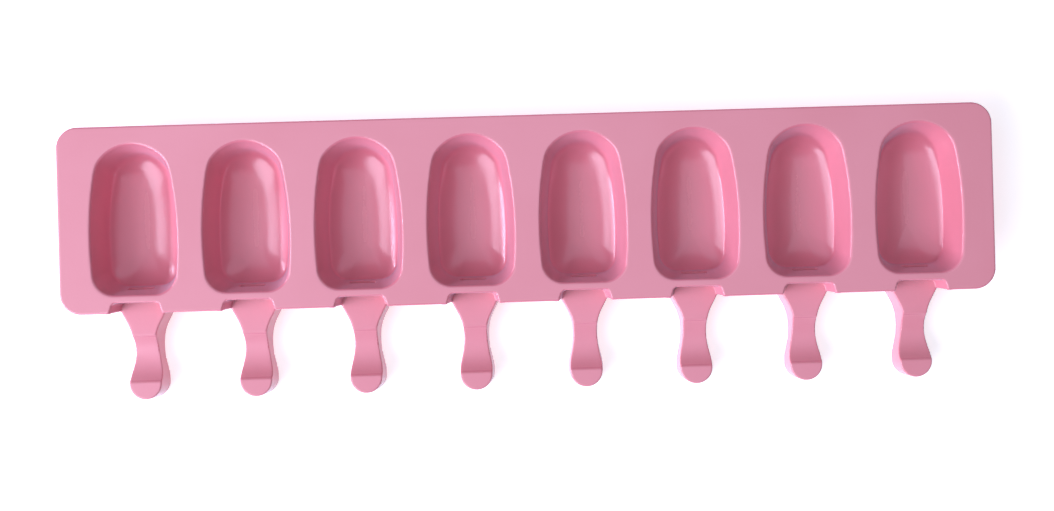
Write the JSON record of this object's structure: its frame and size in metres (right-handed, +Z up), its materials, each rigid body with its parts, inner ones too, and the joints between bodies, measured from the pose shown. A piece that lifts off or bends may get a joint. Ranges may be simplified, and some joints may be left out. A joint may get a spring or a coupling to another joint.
{
  "type": "silicone bar mould",
  "caption": "Flexible one-row silicone tray of arched oblong bar cavities, each with a stick seat and a scooped finger tab on the front edge.",
  "frame": {"origin": "on the table, under the centre of the bounding box", "axes": "+X along the row of cavities, +Y from the finger tabs towards the back edge, +Z up"},
  "size_m": [0.4, 0.119, 0.02],
  "materials": {
    "silicone": "satin"
  },
  "bodies": {
    "cell_1": {"deck_panel_1": "silicone", "cavity_cup_1": "silicone", "stick_seat_1": "silicone"},
    "cell_2": {"deck_panel_2": "silicone", "cavity_cup_2": "silicone", "stick_seat_2": "silicone"},
    "cell_3": {"deck_panel_3": "silicone", "cavity_cup_3": "silicone", "stick_seat_3": "silicone"},
    "cell_4": {"deck_panel_4": "silicone", "cavity_cup_4": "silicone", "stick_seat_4": "silicone"},
    "cell_5": {"deck_panel_5": "silicone", "cavity_cup_5": "silicone", "stick_seat_5": "silicone"},
    "cell_6": {"deck_panel_6": "silicone", "cavity_cup_6": "silicone", "stick_seat_6": "silicone"},
    "cell_7": {"deck_panel_7": "silicone", "cavity_cup_7": "silicone", "stick_seat_7": "silicone"},
    "cell_8": {"deck_panel_8": "silicone", "cavity_cup_8": "silicone", "stick_seat_8": "silicone"},
    "tab_1": {"finger_tab_1": "silicone"},
    "tab_2": {"finger_tab_2": "silicone"},
    "tab_3": {"finger_tab_3": "silicone"},
    "tab_4": {"finger_tab_4": "silicone"},
    "tab_5": {"finger_tab_5": "silicone"},
    "tab_6": {"finger_tab_6": "silicone"},
    "tab_7": {"finger_tab_7": "silicone"},
    "tab_8": {"finger_tab_8": "silicone"}
  },
  "joints": [
    {"name": "web_flex_1_2", "type": "hinge", "parent": "cell_2", "child": "cell_1", "pos_m": [-0.144, 0.0195, 0.019], "axis": [0, 1, 0], "range_deg": [-25, 25], "stiffness_Nm_per_rad": 0.013},
    {"name": "web_flex_2_3", "type": "hinge", "parent": "cell_3", "child": "cell_2", "pos_m": [-0.096, 0.0195, 0.019], "axis": [0, 1, 0], "range_deg": [-25, 25], "stiffness_Nm_per_rad": 0.013},
    {"name": "web_flex_3_4", "type": "hinge", "parent": "cell_4", "child": "cell_3", "pos_m": [-0.048, 0.0195, 0.019], "axis": [0, 1, 0], "range_deg": [-25, 25], "stiffness_Nm_per_rad": 0.013},
    {"name": "web_flex_4_5", "type": "hinge", "parent": "cell_4", "child": "cell_5", "pos_m": [0, 0.0195, 0.019], "axis": [0, 1, 0], "range_deg": [-25, 25], "stiffness_Nm_per_rad": 0.013},
    {"name": "web_flex_5_6", "type": "hinge", "parent": "cell_5", "child": "cell_6", "pos_m": [0.048, 0.0195, 0.019], "axis": [0, 1, 0], "range_deg": [-25, 25], "stiffness_Nm_per_rad": 0.013},
    {"name": "web_flex_6_7", "type": "hinge", "parent": "cell_6", "child": "cell_7", "pos_m": [0.096, 0.0195, 0.019], "axis": [0, 1, 0], "range_deg": [-25, 25], "stiffness_Nm_per_rad": 0.013},
    {"name": "web_flex_7_8", "type": "hinge", "parent": "cell_7", "child": "cell_8", "pos_m": [0.144, 0.0195, 0.019], "axis": [0, 1, 0], "range_deg": [-25, 25], "stiffness_Nm_per_rad": 0.013},
    {"name": "tab_flex_1", "type": "hinge", "parent": "cell_1", "child": "tab_1", "pos_m": [-0.168, -0.0375, 0.00551], "axis": [1, 0, 0], "range_deg": [-20, 20], "stiffness_Nm_per_rad": 0.02},
    {"name": "tab_flex_2", "type": "hinge", "parent": "cell_2", "child": "tab_2", "pos_m": [-0.12, -0.0375, 0.00551], "axis": [1, 0, 0], "range_deg": [-20, 20], "stiffness_Nm_per_rad": 0.02},
    {"name": "tab_flex_3", "type": "hinge", "parent": "cell_3", "child": "tab_3", "pos_m": [-0.072, -0.0375, 0.00551], "axis": [1, 0, 0], "range_deg": [-20, 20], "stiffness_Nm_per_rad": 0.02},
    {"name": "tab_flex_4", "type": "hinge", "parent": "cell_4", "child": "tab_4", "pos_m": [-0.024, -0.0375, 0.00551], "axis": [1, 0, 0], "range_deg": [-20, 20], "stiffness_Nm_per_rad": 0.02},
    {"name": "tab_flex_5", "type": "hinge", "parent": "cell_5", "child": "tab_5", "pos_m": [0.024, -0.0375, 0.00551], "axis": [1, 0, 0], "range_deg": [-20, 20], "stiffness_Nm_per_rad": 0.02},
    {"name": "tab_flex_6", "type": "hinge", "parent": "cell_6", "child": "tab_6", "pos_m": [0.072, -0.0375, 0.00551], "axis": [1, 0, 0], "range_deg": [-20, 20], "stiffness_Nm_per_rad": 0.02},
    {"name": "tab_flex_7", "type": "hinge", "parent": "cell_7", "child": "tab_7", "pos_m": [0.12, -0.0375, 0.00551], "axis": [1, 0, 0], "range_deg": [-20, 20], "stiffness_Nm_per_rad": 0.02},
    {"name": "tab_flex_8", "type": "hinge", "parent": "cell_8", "child": "tab_8", "pos_m": [0.168, -0.0375, 0.00551], "axis": [1, 0, 0], "range_deg": [-20, 20], "stiffness_Nm_per_rad": 0.02}
  ]
}
